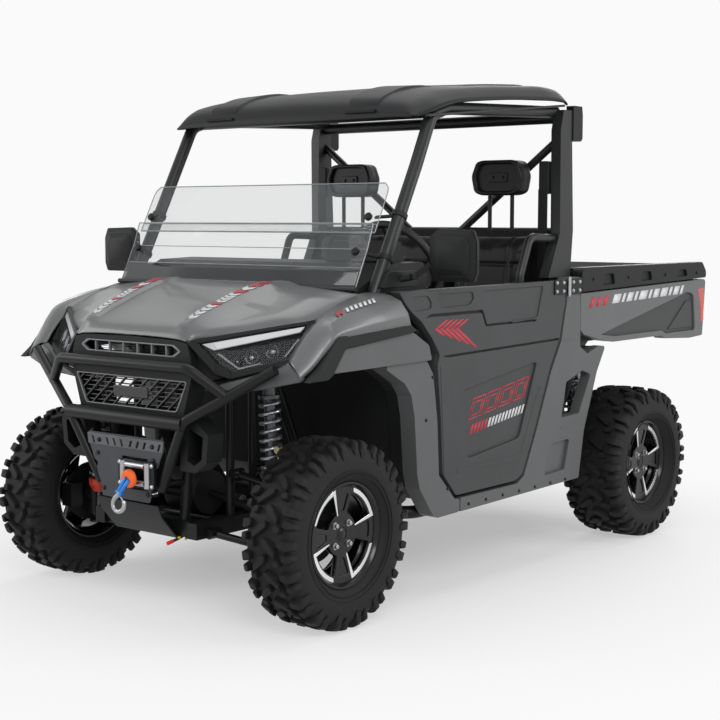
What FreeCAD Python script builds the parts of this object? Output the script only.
import FreeCAD, Part
import math
import os

V = FreeCAD.Vector

# Side by side utility vehicle. Millimetres, +Z up, nose at -Y, left side at +X.
# The origin is on the ground under the middle of the vehicle.

# Driving dimensions of the whole vehicle
WHEELBASE = 2080.0
FRONT_AXLE_Y = -1180.0
REAR_AXLE_Y = FRONT_AXLE_Y + WHEELBASE
BELT_HEIGHT = 1200.0
HALF_WIDTH = 750.0

# Wheels and hubs
TYRE_RADIUS = 343.0
FRONT_TYRE_WIDTH = 229.0
REAR_TYRE_WIDTH = 279.0
FRONT_WHEEL_X = 673.0
REAR_WHEEL_X = 705.0
RIM_RADIUS = 178.0
RIM_LIP_RADIUS = 193.0
RIM_WALL = 8.0
RIM_DISC_WALL = 14.0
FRONT_RIM_WIDTH = 178.0
REAR_RIM_WIDTH = 203.0
WHEEL_BOSS_RADIUS = 55.0
AXLE_RADIUS = 24.0
KINGPIN_X = 585.0
KINGPIN_RADIUS = 26.0
KINGPIN_HALF_HEIGHT = 88.0
BRAKE_DISC_RADIUS = 118.0
BRAKE_DISC_WALL = 6.0
STEERING_ARM_LENGTH = 110.0
STEERING_ARM_LIFT = 68.0
RUNNING_GAP = 0.3
SAFE_GAP = 6.0

# Panels, tubes and sheets
PANEL = 5.0
DOOR_WALL = 46.0
FLOOR_WALL = 12.0
SCREEN_WALL = 6.0
PLATE = 6.0
CAGE_TUBE = 25.0
BRACE_TUBE = 17.5
GUARD_TUBE = 19.0
ARM_TUBE = 14.0
SMALL_TUBE = 9.0
RAIL_WIDTH = 50.0
RAIL_SHARE = 0.3333
RAIL_DROP = 43.0
RAIL_HEIGHT = 60.0
RAIL_X = HALF_WIDTH * RAIL_SHARE
RAIL_Z = TYRE_RADIUS - RAIL_DROP
FLOOR_Z = RAIL_Z + RAIL_HEIGHT
RECESS = 12.0
CUT_OVERRUN = 20.0
CORNER_SHARE = 0.45

# Rear receiver for a towing bar
RECEIVER_BORE = 51.0
RECEIVER_WALL = 6.0
RECEIVER_LENGTH = 150.0
RECEIVER_PIN_RADIUS = 8.0
RECEIVER_LIFT = 80.0
RECEIVER_Z = RAIL_Z + RECEIVER_LIFT


# Placing of points on the body

def spot(share):
    """Point from its three shares."""
    return V(across(share[0]), along(share[1]), up(share[2]))


def along(share):
    """Place from the front axle in shares of the wheelbase."""
    return FRONT_AXLE_Y + share * WHEELBASE


def height_unit(above):
    """Above the rails a share is of the height up to the belt, below it is of the rail's height."""
    return BELT_HEIGHT - FLOOR_Z if above else RAIL_HEIGHT


def up(share):
    return FLOOR_Z + share * height_unit(share >= 0)


def share_of(height):
    return (height - FLOOR_Z) / height_unit(height >= FLOOR_Z)


def across(share):
    """Distance off the middle in shares of the half width."""
    return share * HALF_WIDTH


# Shapes that the sub-parts are made of

def rounded_wire(points, radius, closed=True):
    """Wire through the points, with its corners rounded."""
    if radius <= 0:
        loop = points + [points[0]] if closed else points
        return Part.makePolygon(loop)
    count = len(points)
    stops = []
    for index, corner in enumerate(points):
        if not closed and index in (0, count - 1):
            stops.append((corner, None, corner))
            continue
        before = points[index - 1] - corner
        after = points[(index + 1) % count] - corner
        shortest = min(before.Length, after.Length)
        before.normalize()
        after.normalize()
        half = before.getAngle(after) / 2
        reach = min(radius / math.tan(half), CORNER_SHARE * shortest)
        bend = reach * math.tan(half)
        inward = before + after
        if inward.Length <= 0 or reach < PANEL * CORNER_SHARE:
            stops.append((corner, None, corner))
            continue
        inward.normalize()
        middle = corner + inward * (bend / math.sin(half) - bend)
        stops.append((corner + before * reach, middle, corner + after * reach))
    edges = []
    for index, (start, middle, end) in enumerate(stops):
        if middle is not None:
            edges.append(Part.Arc(start, middle, end).toShape())
        if closed or index < count - 1:
            follow = stops[(index + 1) % count][0]
            if end.distanceToPoint(follow) > 0:
                edges.append(Part.LineSegment(end, follow).toShape())
    return Part.Wire(edges)


def slab(points, direction, radius=0.0):
    """Flat outline pulled along a direction."""
    return Part.Face(rounded_wire(points, radius)).extrude(direction)


def side_slab(shares, inner, outer, radius=0.0):
    """Outline seen from the side, from the inner to the outer distance off the middle."""
    points = [V(inner, along(u), up(w)) for u, w in shares]
    return slab(points, V(outer - inner, 0, 0), radius)


def front_slab(shares, front, rear, radius=0.0):
    """Outline seen from the front, from the front to the rear place."""
    points = [V(across(s), front, up(w)) for s, w in shares]
    return slab(points, V(0, rear - front, 0), radius)


def top_slab(shares, low, high, radius=0.0):
    """Outline seen from above, between two heights."""
    points = [V(across(s), along(u), low) for s, u in shares]
    return slab(points, V(0, 0, high - low), radius)


def block(x0, x1, y0, y1, z0, z1):
    return Part.makeBox(x1 - x0, y1 - y0, z1 - z0, V(x0, y0, z0))


def rod(start, end, radius):
    """Straight round bar between two points."""
    return Part.makeCylinder(radius, (end - start).Length, start, end - start)


def tube(points, radius, bend):
    """Round bar along straight runs joined by bends."""
    path = rounded_wire(points, bend, closed=False)
    ring = Part.Wire(Part.makeCircle(radius, points[0], points[1] - points[0]))
    return path.makePipeShell([ring], True, True)


def ring(centre, axis, outer, inner, length):
    solid = Part.makeCylinder(outer, length, centre, axis)
    return solid.cut(Part.makeCylinder(inner, length, centre, axis))


def flip(shape):
    """The same shape on the other side of the middle."""
    return shape.mirror(V(0, 0, 0), V(1, 0, 0))


def both(shape):
    return [shape, flip(shape)]


def fused(shapes):
    whole = shapes[0].multiFuse(shapes[1:]) if len(shapes) > 1 else shapes[0]
    return whole.removeSplitter()


def offset_line(line, wall):
    """The line moved sideways by the wall, to the left of its direction."""
    moved = []
    for index, point in enumerate(line):
        before = line[max(index - 1, 0)]
        after = line[min(index + 1, len(line) - 1)]
        run = (after - before).normalize()
        moved.append(point + V(-run.z, 0, run.x) * wall)
    return moved


def skin(sections, wall):
    """Thin panel through cross sections seen from the front, with its wall inside."""
    wires = []
    for line in sections:
        loop = line + list(reversed(offset_line(line, wall)))
        wires.append(Part.makePolygon(loop + [loop[0]]))
    return Part.makeLoft(wires, True, True)


def section(place, half_shares):
    """Whole cross section from its right half: centre point first, outer edge last."""
    y = along(place)
    half = [V(across(s), y, up(w)) for s, w in half_shares]
    return [V(-p.x, p.y, p.z) for p in reversed(half[1:])] + half


def solids_of(shapes):
    found = []
    for shape in shapes:
        found.extend(shape.Solids)
    return found


def export(name, shapes):
    solids = solids_of(shapes)
    whole = solids[0] if len(solids) == 1 else Part.makeCompound(solids)
    whole.exportStep("parts/" + name + ".step")
    print(name, "solids", len(solids), "valid", whole.isValid(), "volume", round(whole.Volume / 1e3))


# Chassis frame

frame_front_share = -0.125
frame_rear_share = 1.2404
cross_member_shares = [
    -0.1058, 0.0529, 0.2019, 0.4904, 0.7692,
]
slider_x_share = 0.8733
slider_shares = [
    0.2356, 0.726,
]
tower_shares = [
    (0.2267, -0.1058, -0.5), (0.3067, -0.1058, 0.619), (0.3733, 0.0673, 0.619),
    (0.3733, 0.1346, 0.2381), (0.3333, 0.2115, -0.5),
]
rear_tower_shares = [
    (0.3333, 0.7933, -0.5), (0.3333, 0.8173, 0.5476), (0.3333, 1.1346, 0.5476),
    (0.3333, 1.1587, -0.5),
]
TOWER_TUBE = 20.0
PIVOT_POST = 16.0
SHOCK_PIN = 12.0
REST_PAD = 22.0
bed_rest_shares = (0.3467, 0.8558)
hood_rest_top_share = 1.0167


def main_rail():
    front, rear = along(frame_front_share), along(frame_rear_share)
    return block(RAIL_X - RAIL_WIDTH / 2, RAIL_X + RAIL_WIDTH / 2, front, rear,
                 RAIL_Z, RAIL_Z + RAIL_HEIGHT)


def cross_member(share):
    y = along(share)
    return block(-RAIL_X, RAIL_X, y - RAIL_WIDTH / 2, y + RAIL_WIDTH / 2, RAIL_Z, RAIL_Z + RAIL_HEIGHT)


def rock_slider():
    """Outer tube under the sill with its two outriggers."""
    x = across(slider_x_share)
    z = RAIL_Z + RAIL_HEIGHT / 2
    front, rear = (along(s) for s in slider_shares)
    return tube([V(RAIL_X, front, z), V(x, front, z), V(x, rear, z), V(RAIL_X, rear, z)],
                CAGE_TUBE, CAGE_TUBE * 3)


def chassis_tower(shares):
    return tube([spot(s) for s in shares], TOWER_TUBE, TOWER_TUBE * 2.5)


def tower_point(shares, height):
    """Middle of the tower's first leg at a height."""
    low, high = spot(shares[0]), spot(shares[1])
    return low + (high - low) * ((height - low.z) / (high.z - low.z))


def pivot_post(x, y, top):
    """Post between the rail and the tower that carries the upper arm's pivot."""
    return rod(V(x, y, RAIL_Z + RAIL_HEIGHT / 2), V(x, y, top), PIVOT_POST)


def shock_pin(top):
    """Pin that the shock absorber hangs from."""
    return rod(V(RAIL_X, top.y, top.z), V(top.x + DAMPER_RADIUS, top.y, top.z), SHOCK_PIN)


def bed_rest():
    """Rubber-faced post that the lowered bed rests on."""
    x, y = across(bed_rest_shares[0]), along(bed_rest_shares[1])
    top = up(bed_floor_share) - BED_SUBFRAME - RUNNING_GAP
    return rod(V(x, y, up(rear_tower_shares[1][2])), V(x, y, top), REST_PAD / 2)


def hood_rest():
    """Bump stop under the hood, shaped to it."""
    foot = spot(tower_shares[2])
    lid = hood()[0]
    lid.translate(V(0, 0, -RUNNING_GAP))
    return rod(foot, V(foot.x, foot.y, up(hood_rest_top_share)), PIVOT_POST).cut(lid)


def cradle(axle_y):
    """Cross bar that the differential rests on."""
    z = TYRE_RADIUS + DIFF_LIFT - DIFF_RADIUS - RUNNING_GAP - PIVOT_POST
    return rod(V(-RAIL_X, axle_y, z), V(RAIL_X, axle_y, z), PIVOT_POST)


def tower_tie(share, size):
    point = spot(share)
    return rod(V(-point.x, point.y, point.z), point, size)


def hitch_receiver():
    """Square tube that takes a towing bar, with its pin hole."""
    outer = RECEIVER_BORE / 2 + RECEIVER_WALL
    inner = RECEIVER_BORE / 2
    rear = along(frame_rear_share) + RECEIVER_BORE * 2
    front = rear - RECEIVER_LENGTH
    body = block(-outer, outer, front, rear, RECEIVER_Z - outer, RECEIVER_Z + outer)
    hollow = block(-inner, inner, front + RAIL_WIDTH, rear, RECEIVER_Z - inner, RECEIVER_Z + inner)
    pin_y = rear - RECEIVER_BORE
    pin = rod(V(-outer * 2, pin_y, RECEIVER_Z), V(outer * 2, pin_y, RECEIVER_Z), RECEIVER_PIN_RADIUS)
    return body.cut(hollow).cut(pin)


def frame():
    """Two rails with their cross members, outer tubes, differential cradles and receiver."""
    parts = both(main_rail())
    for share in cross_member_shares:
        parts.append(cross_member(share))
    rear = along(frame_rear_share)
    parts.append(block(-RAIL_X, RAIL_X, rear - RAIL_WIDTH, rear, RAIL_Z, RECEIVER_Z + RAIL_HEIGHT))
    parts.extend(both(rock_slider()))
    for axle_y in (FRONT_AXLE_Y, REAR_AXLE_Y):
        parts.append(cradle(axle_y))
    parts.append(hitch_receiver())
    return [fused(parts)]


def standing(parts):
    """The parts fused and cut off just above the rails that they stand on."""
    reach = HALF_WIDTH + WHEELBASE
    ground = block(-reach, reach, -reach, reach, -RAIL_HEIGHT, FLOOR_Z + RUNNING_GAP)
    return [fused(parts).cut(ground)]


def tower(axle_y, shares, shock_top):
    """Two bent tubes with their ties, the upper arms' posts and the pins of the shock absorbers."""
    parts = both(chassis_tower(shares))
    for share in shares[1:3]:
        parts.append(tower_tie(share, TOWER_TUBE))
    for side in (-1, 1):
        parts.extend(both(pivot_post(RAIL_X, axle_y + side * UPPER_SPREAD, up(shares[1][2]))))
    parts.extend(both(shock_pin(spot(shock_top))))
    return parts


def front_tower():
    parts = tower(FRONT_AXLE_Y, tower_shares, shock_top_shares[0])
    tray = tower_point(tower_shares, winch_z() - WINCH_DROP - TOWER_TUBE - RUNNING_GAP)
    parts.append(rod(V(-tray.x, tray.y, tray.z), tray, TOWER_TUBE))
    parts.extend(both(hood_rest()))
    return standing(parts)


def rear_tower():
    parts = tower(REAR_AXLE_Y, rear_tower_shares, shock_top_shares[1])
    parts.extend(both(bed_rest()))
    for ear in bed_pivot_ears():
        parts.extend(both(ear))
    return standing(parts)


# Floor, firewall and seat box

floor_shares = [
    (0.5144, 0.0), (0.2981, 0.0), (0.2404, 0.0952), (0.201, 0.3333), (0.1827, 0.9048),
    (0.1885, 0.9048), (0.2067, 0.3333), (0.2462, 0.1071), (0.3, 0.0143), (0.5144, 0.0143),
]
cab_half_width_share = 0.8347
seat_box_front_share = 0.501
seat_box_top_share = 0.4048
wall_shares = [
    (0.7192, 0.3333), (0.725, 0.3333), (0.725, 1.244), (0.7192, 1.244),
]


def cab_floor():
    half = across(cab_half_width_share)
    return [side_slab(floor_shares, -half, half)]


def seat_box():
    """Riser under the bench, open below for the engine."""
    half = across(cab_half_width_share)
    top = up(seat_box_top_share)
    front = along(seat_box_front_share)
    rear = along(wall_shares[0][0])
    low = up(floor_shares[-1][1])
    outer = block(-half, half, front, rear, low, top)
    inner = block(-half + FLOOR_WALL, half - FLOOR_WALL, front + FLOOR_WALL, rear + CUT_OVERRUN,
                  low - CUT_OVERRUN, top - FLOOR_WALL)
    return [outer.cut(inner)]


def cab_wall():
    half = across(pillar_b_x_shares[0]) - RUNNING_GAP
    return [side_slab(wall_shares, -half, half)]


# Skid plate under the nose

skid_shares = [
    (-0.1639, 0.0786), (-0.1538, 0.0238), (-0.1202, -1.0), (0.2308, -1.0), (0.2308, -1.1),
    (-0.1216, -1.1), (-0.1567, 0.019), (-0.1668, 0.0762),
]
skid_half_share = 0.22


def skid_plate():
    half = across(skid_half_share)
    return [side_slab(skid_shares, -half, half)]


# Brush guard

guard_upright_shares = [
    (0.216, -0.1553, 0.144), (0.4133, -0.1683, 0.4583), (0.8547, -0.112, 0.6905),
]
guard_hoop_share = (0.46, -0.1731, 0.6845)
guard_joint_share = 0.47
guard_bar_share = (0.4133, -0.1683, 0.4464)
guard_foot_z_share = 0.169
GUARD_STAY_SHARE = 0.6
GUARD_BAR_SHARE = 1.4


def brush_guard():
    upright = tube([spot(s) for s in guard_upright_shares], GUARD_TUBE, GUARD_TUBE * 3)
    parts = both(upright)
    low, high = (spot(s) for s in guard_upright_shares[1:])
    joint, bend = low + (high - low) * guard_joint_share, spot(guard_hoop_share)
    joint += (joint - bend).normalize() * PLATE
    hoop = [joint, bend, V(-bend.x, bend.y, bend.z), V(-joint.x, joint.y, joint.z)]
    parts.append(tube(hoop, GUARD_TUBE, GUARD_TUBE * 3))
    point = spot(guard_bar_share)
    parts.append(rod(V(-point.x, point.y, point.z), point, GUARD_TUBE * GUARD_BAR_SHARE))
    foot = tower_point(tower_shares, up(guard_foot_z_share))
    start = spot(guard_upright_shares[0])
    leg = rod(spot(tower_shares[0]), spot(tower_shares[1]), TOWER_TUBE + RUNNING_GAP)
    stay = rod(V(start.x, start.y, foot.z), foot, GUARD_TUBE * GUARD_STAY_SHARE).cut(leg)
    parts.extend(both(stay))
    return [fused(parts)]


# Winch plate, winch, roller fairlead, hook and stopper

plate_shares = [
    (-0.272, 0.3667), (0.272, 0.3667), (0.272, 0.3238), (0.2293, 0.2381), (0.1813, 0.1429),
    (0.1707, 0.0857), (-0.1707, 0.0857), (-0.1813, 0.1429), (-0.2293, 0.2381), (-0.272, 0.3238),
]
plate_front_share = -0.1683
fairlead_x_share = 0.096
winch_window_shares = [
    (-0.024, 0.2762), (0.1573, 0.2762), (0.1573, 0.1357), (-0.024, 0.1357),
]
slot_row_shares = [
    -0.22, -0.1667, -0.1133, -0.06, 0.06, 0.1133, 0.1667, 0.22,
]
FAIRLEAD_WIDTH = 190.0
FAIRLEAD_HEIGHT = 96.0
ROLLER_RADIUS = 13.0
ROLLER_HOUSING_SHARE = 2.4
STOPPER_RADIUS = 34.0
HOOK_WIRE_SHARE = 0.6
HOOK_LOOP_SHARE = 1.9
HOOK_REACH_Y = -1606.8
winch_share = 0.2083
slot_z_shares = [
    0.3286, 0.3524,
]
SLOT_HALF = 5.0
WINCH_DROP = 52.0
WINCH_BASE_DROP = 30.0
DRUM_HALF = 115.0
DRUM_RADIUS = 38.0
DRUM_SETBACK = 62.0
HOOK_DROP = 78.0


def winch_z():
    return up(winch_share)


def winch_plate():
    front = along(plate_front_share)
    plate = front_slab(plate_shares, front, front + PLATE, PLATE * 2)
    plate = plate.cut(front_slab(winch_window_shares, front - PLATE, front + PLATE * 2))
    low, high = (up(w) for w in slot_z_shares)
    for share in slot_row_shares:
        x = across(share)
        lean = math.copysign(SLOT_HALF, -x)
        left, right = x - SLOT_HALF, x + SLOT_HALF
        foot = [V(left + lean, 0, low), V(right + lean, 0, low)]
        corners = foot + [V(right - lean, 0, high), V(left - lean, 0, high)]
        slot = slab(corners, V(0, PLATE * 3, 0))
        slot.translate(V(0, front - PLATE, 0))
        plate = plate.cut(slot)
    return [plate]


def winch_body():
    """Drum on its base behind the plate."""
    z, front = winch_z(), along(plate_front_share)
    drum_y = front + DRUM_SETBACK
    drum = rod(V(-DRUM_HALF, drum_y, z), V(DRUM_HALF, drum_y, z), DRUM_RADIUS)
    half = DRUM_HALF - PLATE
    base = block(-half, half, front + PLATE + RUNNING_GAP, spot(tower_shares[0]).y + TOWER_TUBE,
                 z - WINCH_DROP, z - WINCH_BASE_DROP)
    return fused([drum, base])


def fairlead_front():
    return along(plate_front_share) - RUNNING_GAP - ROLLER_RADIUS * ROLLER_HOUSING_SHARE


def fairlead():
    """Housing with two upright and two level rollers."""
    z, front = winch_z(), fairlead_front()
    back = along(plate_front_share) - RUNNING_GAP
    half_w, half_h = FAIRLEAD_WIDTH / 2, FAIRLEAD_HEIGHT / 2
    house = block(-half_w, half_w, front, back, z - half_h, z + half_h)
    house = house.cut(block(-half_w + PLATE, half_w - PLATE, front - PLATE, back - PLATE,
                            z - half_h + PLATE, z + half_h - PLATE))
    mouth = half_w - ROLLER_RADIUS * ROLLER_HOUSING_SHARE
    house = house.cut(block(-mouth, mouth, front, back + PLATE, z - ROLLER_RADIUS, z + ROLLER_RADIUS))
    pieces = [house]
    y = front + ROLLER_RADIUS
    side = PLATE + ROLLER_RADIUS + PLATE * CORNER_SHARE
    end_x, end_z = half_w - PLATE / 2, half_h - PLATE / 2
    for sign in (-1, 1):
        x, level = sign * (half_w - side), z + sign * (half_h - side)
        pieces.append(rod(V(x, y, z - end_z), V(x, y, z + end_z), ROLLER_RADIUS))
        pieces.append(rod(V(-end_x, y, level), V(end_x, y, level), ROLLER_RADIUS))
    whole = fused(pieces)
    whole.translate(V(across(fairlead_x_share), 0, 0))
    return whole


def stopper_and_hook():
    """Round stopper against the rollers, with the clevis and hook hanging from it."""
    z, front = winch_z(), fairlead_front() - RUNNING_GAP
    wire = ROLLER_RADIUS * HOOK_WIRE_SHARE
    loop = ROLLER_RADIUS * HOOK_LOOP_SHARE
    stopper = rod(V(0, front, z), V(0, front - ROLLER_RADIUS, z), STOPPER_RADIUS)
    low = z - STOPPER_RADIUS
    eye = V(0, HOOK_REACH_Y + ROLLER_RADIUS, low)
    clevis = rod(V(0, front - ROLLER_RADIUS, z - ROLLER_RADIUS), eye, wire)
    hook_y, hook_z = HOOK_REACH_Y + wire, z - HOOK_DROP
    hook = Part.makeTorus(loop, wire, V(0, hook_y, hook_z), V(0, 1, 0))
    shank = rod(V(0, hook_y, hook_z + loop), V(0, hook_y, low + wire), wire)
    whole = fused([stopper, clevis, hook, shank])
    whole.translate(V(across(fairlead_x_share), 0, 0))
    return whole


def winch():
    return [winch_body(), fairlead(), stopper_and_hook()]


# Hood

hood_sections = [
    (-0.1538, [
    (0.0, 0.8048), (0.3, 0.8), (0.32, 0.7988), (0.3413, 0.7976), (0.36, 0.7952), (0.4, 0.7881),
]),
    (-0.1375, [
    (0.0, 0.8524), (0.3013, 0.8583), (0.3253, 0.869), (0.3493, 0.8679), (0.376, 0.8476),
    (0.4347, 0.8048),
]),
    (-0.024, [
    (0.0, 0.95), (0.328, 0.9619), (0.3493, 0.9798), (0.3867, 0.9774), (0.4533, 0.9405),
    (0.8533, 0.8786),
]),
    (0.0351, [
    (0.0, 0.9905), (0.3387, 1.0036), (0.3627, 1.019), (0.4027, 1.0167), (0.48, 0.9833),
    (0.872, 0.9393),
]),
    (0.0923, [
    (0.0, 1.0119), (0.3493, 1.0214), (0.3787, 1.0286), (0.4187, 1.0262), (0.5067, 1.0071),
    (0.8827, 0.981),
]),
]


def hood():
    return [skin([section(place, shares) for place, shares in hood_sections], PANEL)]


# Front fenders

fender_sections = [
    (-0.1, [
    (0.9707, 0.6476), (0.9653, 0.6667), (0.9387, 0.6952), (0.8907, 0.7143),
]),
    (-0.0769, [
    (0.98, 0.6429), (0.9733, 0.6726), (0.92, 0.7286), (0.8733, 0.7619),
]),
    (-0.0433, [
    (1.0267, 0.6488), (1.016, 0.7143), (0.96, 0.8155), (0.8693, 0.8619),
]),
    (0.0351, [
    (1.0467, 0.6726), (1.04, 0.7738), (0.9893, 0.881), (0.8907, 0.931),
]),
    (0.1154, [
    (1.048, 0.6786), (1.0427, 0.8036), (0.9933, 0.9286), (0.8987, 0.981),
]),
    (0.1466, [
    (1.048, 0.681), (1.0427, 0.8095), (0.9973, 0.9405), (0.9333, 0.9881),
]),
]
fender_rear_x_shares = [
    0.984, 1.048,
]
fender_rear_shares = [
    (0.1433, 0.9833), (0.1587, 0.931), (0.1971, 0.8571), (0.2308, 0.7738), (0.2385, 0.681),
    (0.1442, 0.681),
]


def fender():
    """Side skin over the front wheel, open below for the tyre."""
    sections = []
    for place, shares in fender_sections:
        sections.append([V(across(s), along(place), up(w)) for s, w in shares])
    panel = skin(sections, PANEL)
    inner, outer = (across(s) for s in fender_rear_x_shares)
    rear = side_slab(fender_rear_shares, inner, outer)
    return fused([panel, rear])


# Front fascia with grille openings and lamp pods

fascia_low_shares = [
    (0.424, 0.7143), (0.424, 0.631), (0.3667, 0.4667), (-0.3667, 0.4667), (-0.424, 0.631),
    (-0.424, 0.7143),
]
grille_shares = [
    (-0.4, 0.6238), (0.4, 0.6238), (0.328, 0.4857), (-0.328, 0.4857),
]
vent_shares = [
    (-0.3573, 0.7476), (-0.3133, 0.7738), (0.3133, 0.7738), (0.3573, 0.7476), (0.3133, 0.7202),
    (-0.3133, 0.7202),
]
fascia_front_share = -0.1548
LAMP_DEPTH = 90.0
duct_shares = [
    (0.3573, 0.4667), (0.4267, 0.4667), (0.5267, 0.4048), (0.5133, 0.2857), (0.44, 0.2381),
    (0.336, 0.2381), (0.3413, 0.3333),
]
duct_mouth_shares = [
    (0.4, 0.4226), (0.4933, 0.3929), (0.4827, 0.2976), (0.4333, 0.2679), (0.3867, 0.2857),
]


def lofted_bar(first, second):
    """Closed body between two loops of corners that need not be flat, in flat triangles."""
    count = len(first)
    faces = []
    for index in range(count):
        follow = (index + 1) % count
        a, b, c, d = first[index], first[follow], second[follow], second[index]
        for corners in ((a, b, c), (a, c, d)):
            faces.append(Part.Face(Part.makePolygon([*corners, corners[0]])))
    for loop in (first, second):
        for index in range(1, count - 1):
            corners = (loop[0], loop[index], loop[index + 1])
            faces.append(Part.Face(Part.makePolygon([*corners, corners[0]])))
    solid = Part.Solid(Part.makeShell(faces))
    if solid.Volume < 0:
        solid.reverse()
    return solid


lamp_front_shares = [
    (0.4293, -0.1433, 0.7762), (0.8667, -0.0288, 0.8643), (0.8693, -0.0721, 0.7238),
    (0.5867, -0.125, 0.6607),
]


def headlamp():
    face = [spot(s) for s in lamp_front_shares]
    back = [p + V(0, LAMP_DEPTH, 0) for p in face]
    return lofted_bar(face, back)


lamp_shelf_shares = [
    (0.3893, -0.1231, 0.744), (0.52, -0.1231, 0.744),
]
fascia_wing_shares = [
    (0.416, -0.1394, 0.6095), (0.7947, -0.0942, 0.669), (0.8533, -0.0702, 0.7119),
    (0.584, -0.1231, 0.6488), (0.4213, -0.1385, 0.7381),
]


def lamp_shelf():
    """Peg beside the grille that the headlamp sits on."""
    lamp = headlamp()
    lamp.translate(V(-RUNNING_GAP, 0, -RUNNING_GAP))
    inner, outer = (spot(s) for s in lamp_shelf_shares)
    return rod(inner, outer, SMALL_TUBE).cut(lamp)


def front_fascia():
    front = along(fascia_front_share)
    rear = spot(tower_shares[1]).y - TOWER_TUBE - RUNNING_GAP
    drop = (PANEL + RUNNING_GAP) / height_unit(True)
    lip = [(s, w - drop) for s, w in hood_sections[0][1]]
    brow = [(-s, w) for s, w in reversed(lip[1:])] + lip
    plate = front_slab(brow + fascia_low_shares, front, rear)
    plate = plate.cut(front_slab(grille_shares, front - PANEL, rear + PANEL))
    plate = plate.cut(front_slab(vent_shares, front - PANEL, rear + PANEL))
    parts = [plate]
    wing = [spot(s) for s in fascia_wing_shares]
    inner = [p + V(-PANEL, LAMP_DEPTH / 2, -PANEL * 3) for p in wing]
    parts.extend(both(lofted_bar(wing, inner)))
    parts.extend(both(lamp_shelf()))
    duct = front_slab(duct_shares, front + PANEL, rear)
    duct = duct.cut(front_slab(duct_mouth_shares, front - PANEL, rear - PANEL * 2))
    parts.extend(both(duct))
    return [fused(parts)]


# Grilles

SLAT = 7.0
GRILLE_LEAN_SHARE = 1.2
VENT_FRAME_SHARES = (0.96, 0.72)
grille_slat_count = 6
grille_bar_count = 9
vent_bar_count = 6


def main_grille():
    """Diagonal lattice in a thin frame."""
    front = along(fascia_front_share) + PANEL
    rear = front + SLAT * 2
    outer = front_slab(grille_shares, front, rear)
    low, high = up(grille_shares[2][1]), up(grille_shares[0][1])
    wide = across(grille_shares[1][0])
    middle = (low + high) / 2
    grow = (wide - SLAT * 1.5) / wide
    inner_shares = [(s * grow, share_of(middle + (up(w) - middle) * grow ** 3)) for s, w in grille_shares]
    parts = [outer.cut(front_slab(inner_shares, front - PANEL, rear + PANEL))]
    step = (high - low) / grille_slat_count
    for index in range(1, grille_slat_count):
        z = low + step * index
        bar = block(-wide, wide, front, rear, z - SLAT / 2, z + SLAT / 2)
        parts.append(bar.common(outer))
    lean = (high - low) * GRILLE_LEAN_SHARE
    pitch = wide * 2 / grille_bar_count
    for index in range(-1, grille_bar_count + 1):
        x = -wide + pitch * index
        top = x + lean
        corners = [V(x, front, low), V(x + SLAT, front, low), V(top + SLAT, front, high), V(top, front, high)]
        parts.append(slab(corners, V(0, rear - front, 0)).common(outer))
    parts = [p for p in parts if p.Solids]
    return fused(parts)


def upper_grille():
    front = along(fascia_front_share) + PANEL
    rear = front + SLAT * 2
    outer = front_slab(vent_shares, front, rear)
    wide, tall = VENT_FRAME_SHARES
    middle = vent_shares[0][1]
    hole = [(s * wide, middle + (w - middle) * tall) for s, w in vent_shares]
    inner = front_slab(hole, front - PANEL, rear + PANEL)
    parts = [outer.cut(inner)]
    wide = across(vent_shares[2][0])
    low, high = up(vent_shares[5][1]), up(vent_shares[1][1])
    for index in range(vent_bar_count):
        x = -wide + wide * 2 * (index + 0.5) / vent_bar_count
        parts.append(block(x - SLAT / 2, x + SLAT / 2, front, rear, low + SLAT / 2, high - SLAT / 2))
    return fused(parts)


# Wheel arch liners and fender legs

LINER_WALL = 8.0
liner_inner_x_share = 0.8367
leg_shares = [
    (0.0952, 0.681), (0.1678, 0.5833), (0.187, 0.5274), (0.1971, 0.4226), (0.2053, 0.1679),
    (0.213, 0.0976), (0.2538, -0.5333), (0.2683, -0.7333), (0.3365, -0.7), (0.3365, 0.0143),
    (0.3221, 0.0143), (0.2712, 0.1429), (0.2654, 0.3988), (0.2524, 0.6071), (0.2308, 0.681),
]


def arch_liner():
    edge = leg_shares[:6]
    wall = LINER_WALL / WHEELBASE
    shares = edge + [(u + wall, w) for u, w in reversed(edge)]
    return side_slab(shares, across(liner_inner_x_share), sill_inner() - RUNNING_GAP)


def sill_inner():
    """Inner side of the sill, which bears on the tube beneath the door."""
    return across(slider_x_share) + CAGE_TUBE + RUNNING_GAP


def fender_leg():
    return side_slab(leg_shares, sill_inner(), HALF_WIDTH, PANEL * 3)


# Rear quarter panels with the rocker

quarter_shares = [
    (0.3394, -0.7), (0.7644, -0.4833), (0.7837, 0.2095), (0.8337, 0.506), (0.8683, 0.6369),
    (0.8365, 0.6369), (0.7933, 0.6071), (0.7644, 0.6488), (0.7606, 1.0071), (0.7101, 1.0071),
    (0.7101, 0.8881), (0.6899, 0.6905), (0.6529, 0.5417), (0.6019, 0.2679), (0.5558, 0.0452),
    (0.5308, 0.0143), (0.3394, 0.0143),
]
rocker_shares = [
    (0.3394, -0.7), (0.6827, -0.55), (0.6827, 0.0143), (0.3394, 0.0143),
]
quarter_hole_shares = [
    (0.7115, 0.4762), (0.774, 0.5238), (0.8077, 0.4976), (0.762, 0.3036), (0.6933, 0.2976),
]
quarter_pocket_shares = [
    (0.6587, 0.1762), (0.726, 0.181), (0.7077, 0.0286), (0.6298, 0.0214),
]


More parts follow.
